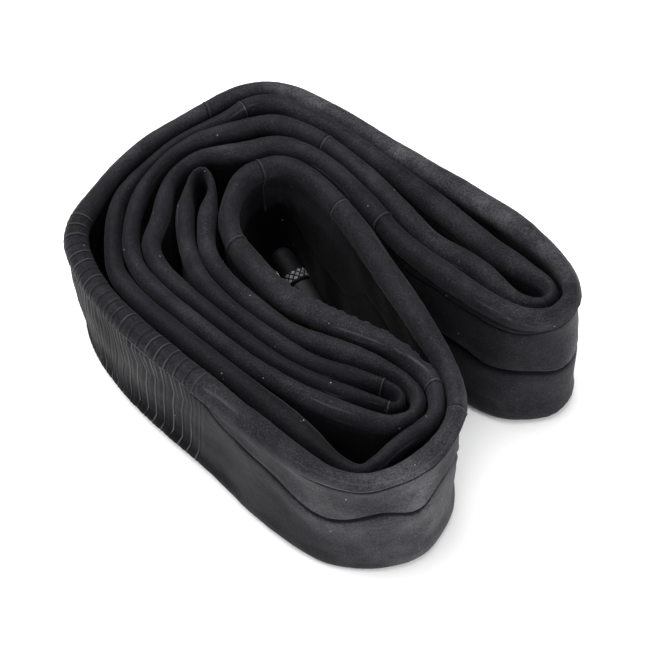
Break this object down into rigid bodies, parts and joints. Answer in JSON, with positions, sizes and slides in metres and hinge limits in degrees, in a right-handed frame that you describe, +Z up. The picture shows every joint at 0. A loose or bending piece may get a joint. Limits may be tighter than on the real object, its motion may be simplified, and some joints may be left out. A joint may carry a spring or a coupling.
{
  "type": "inner tube",
  "caption": "Folded bicycle inner tube: a flattened endless rubber tube coiled on edge into a lobed bundle, with a capped valve stem in its hollow.",
  "frame": {"origin": "middle of the bundle's footprint, on the surface it stands on", "axes": "+Z up, across the flattened tube's width; the bundle's front lobe points to -Y and its other lobe to +X"},
  "size_m": [0.1752, 0.1764, 0.06],
  "materials": {
    "butyl": "matt charcoal butyl rubber, dusty, with moulded seam rings and ribs",
    "valve_rubber": "smooth moulded black rubber",
    "brass": "turned brass",
    "seal_rubber": "soft seal rubber",
    "steel": "drawn spring wire",
    "cap_plastic": "moulded black plastic with a knurled skirt"
  },
  "bodies": {
    "tube": {"tube_hollow_wall": "butyl", "tube_second_front": "butyl", "tube_second_back": "butyl", "tube_third_wrap": "butyl", "tube_small_loop": "butyl", "tube_fourth_wrap": "butyl", "tube_outer_back": "butyl", "tube_outer_front": "butyl", "valve_rubber": "valve_rubber", "valve_stem_insert": "brass", "core_plug": "brass", "core_barrel": "brass", "core_gasket": "seal_rubber", "core_spring": "steel"},
    "pin": {"core_pin": "brass", "core_cup": "brass", "core_cup_seal": "seal_rubber"},
    "cap_screw": {"cap_washer": "seal_rubber"},
    "cap": {"dust_cap": "cap_plastic"}
  },
  "joints": [
    {"name": "cap_lift", "type": "slide", "parent": "tube", "child": "cap_screw", "axis": [-0.4895, 0.8292, 0.2697], "range_m": [0, 0.00794]},
    {"name": "cap_turn", "type": "hinge", "parent": "cap_screw", "child": "cap", "pos_m": [0.00327, -0.01066, 0.03471], "axis": [-0.4895, 0.8292, 0.2697], "range_deg": [0, 3600]},
    {"name": "pin_press", "type": "slide", "parent": "tube", "child": "pin", "axis": [0.4895, -0.8292, -0.2697], "range_m": [0, 0.0012], "stiffness_N_per_m": 800, "springref_m": -0.001, "deforming": ["core_spring"]}
  ],
  "couplings": [
    {"joint": "cap_turn", "follows": "cap_lift", "rad_per_m": 7915.8}
  ]
}
